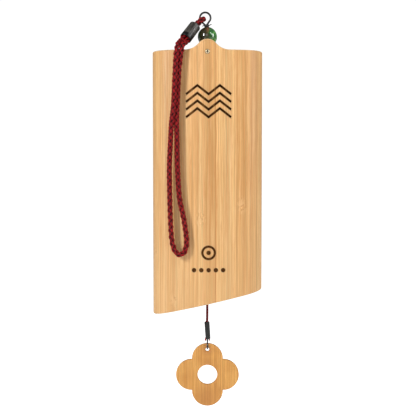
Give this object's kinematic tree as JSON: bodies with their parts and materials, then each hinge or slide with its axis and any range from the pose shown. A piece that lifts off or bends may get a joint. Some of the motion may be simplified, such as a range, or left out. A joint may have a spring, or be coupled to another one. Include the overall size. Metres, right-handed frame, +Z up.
{
  "type": "wind chime",
  "caption": "Hanging wind chime with a flat-oval bamboo tube cut at a slant, tuned steel rods inside, a bead on the hanging wire, a braided hand strap and a lobed wind sail.",
  "frame": {"origin": "centre of the hanging eye", "axes": "+X right, +Y from front to back, +Z up"},
  "size_m": [0.11, 0.0637, 0.3995],
  "materials": {
    "bamboo": "satin lacquered bamboo strips",
    "dark_bamboo": "caramel bamboo, satin",
    "red_cord": "braided polyester",
    "black_sleeve": "satin tube",
    "black_wire": "black coated wire",
    "black_thread": "waxed thread",
    "glass": "dark green lampwork glass with brown swirls",
    "steel": "polished",
    "screw_metal": "plated, slightly dull"
  },
  "bodies": {
    "hanger": {"hanger_wire": "black_wire", "neck_knot": "black_thread"},
    "bead": {"glass_bead": "glass"},
    "strap": {"strap_eye_loop": "red_cord", "strap_sleeve": "black_sleeve"},
    "loop": {"hand_loop": "red_cord"},
    "resonator": {"front_shell": "bamboo", "rear_shell": "bamboo", "crossbar": "dark_bamboo", "crossbar_screws": "screw_metal", "sound_board": "bamboo", "rod_plate": "steel", "plate_screws": "screw_metal", "hook": "steel", "tone_rod_1": "steel", "tone_rod_2": "steel", "tone_rod_3": "steel", "tone_rod_4": "steel", "tone_rod_5": "steel", "tone_rod_6": "steel", "tone_rod_7": "steel", "tone_rod_8": "steel"},
    "swivel": {"swivel_ring": "steel"},
    "striker": {"striker_cord": "red_cord", "striker_disc": "dark_bamboo", "striker_knots": "red_cord"},
    "tail": {"tail_cord": "red_cord", "tail_sleeve": "black_sleeve"},
    "thread": {"sail_thread": "black_thread"},
    "sail": {"sail": "dark_bamboo"}
  },
  "joints": [
    {"name": "bead_spin", "type": "hinge", "parent": "hanger", "child": "bead", "pos_m": [0.0022, 0, -0.0189], "axis": [0, 0, 1], "continuous": true},
    {"name": "body_swing", "type": "hinge", "parent": "hanger", "child": "resonator", "pos_m": [0.0022, 0, -0.0364], "axis": [0, 1, 0], "range_deg": [-7, 7]},
    {"name": "strap_swing", "type": "hinge", "parent": "hanger", "child": "strap", "pos_m": [0, 0, 0], "axis": [0, 1, 0], "range_deg": [0, 145]},
    {"name": "strap_bend", "type": "hinge", "parent": "strap", "child": "loop", "pos_m": [-0.01962, -0.01094, -0.02201], "axis": [0.2258, 0.9697, -0.093], "range_deg": [0, 33.94]},
    {"name": "swivel_swing", "type": "hinge", "parent": "resonator", "child": "swivel", "pos_m": [0.0022, 0, -0.0729], "axis": [0, 1, 0], "range_deg": [-3.6, 3.6]},
    {"name": "striker_swing", "type": "hinge", "parent": "swivel", "child": "striker", "pos_m": [0.0022, 0, -0.07815], "axis": [1, 0, 0], "range_deg": [-3.6, 3.6]},
    {"name": "tail_swing", "type": "hinge", "parent": "striker", "child": "tail", "pos_m": [0.0022, 0, -0.1471], "axis": [0, 1, 0], "range_deg": [-5, 5]},
    {"name": "sail_twist", "type": "hinge", "parent": "tail", "child": "thread", "pos_m": [0.0022, 0, -0.326], "axis": [0, 0, 1], "continuous": true},
    {"name": "sail_rock", "type": "hinge", "parent": "thread", "child": "sail", "pos_m": [0.0022, 0, -0.3344], "axis": [0, 1, 0], "range_deg": [-25, 25]}
  ],
  "couplings": [
    {"joint": "strap_bend", "follows": "strap_swing", "ratio": 0.232}
  ]
}
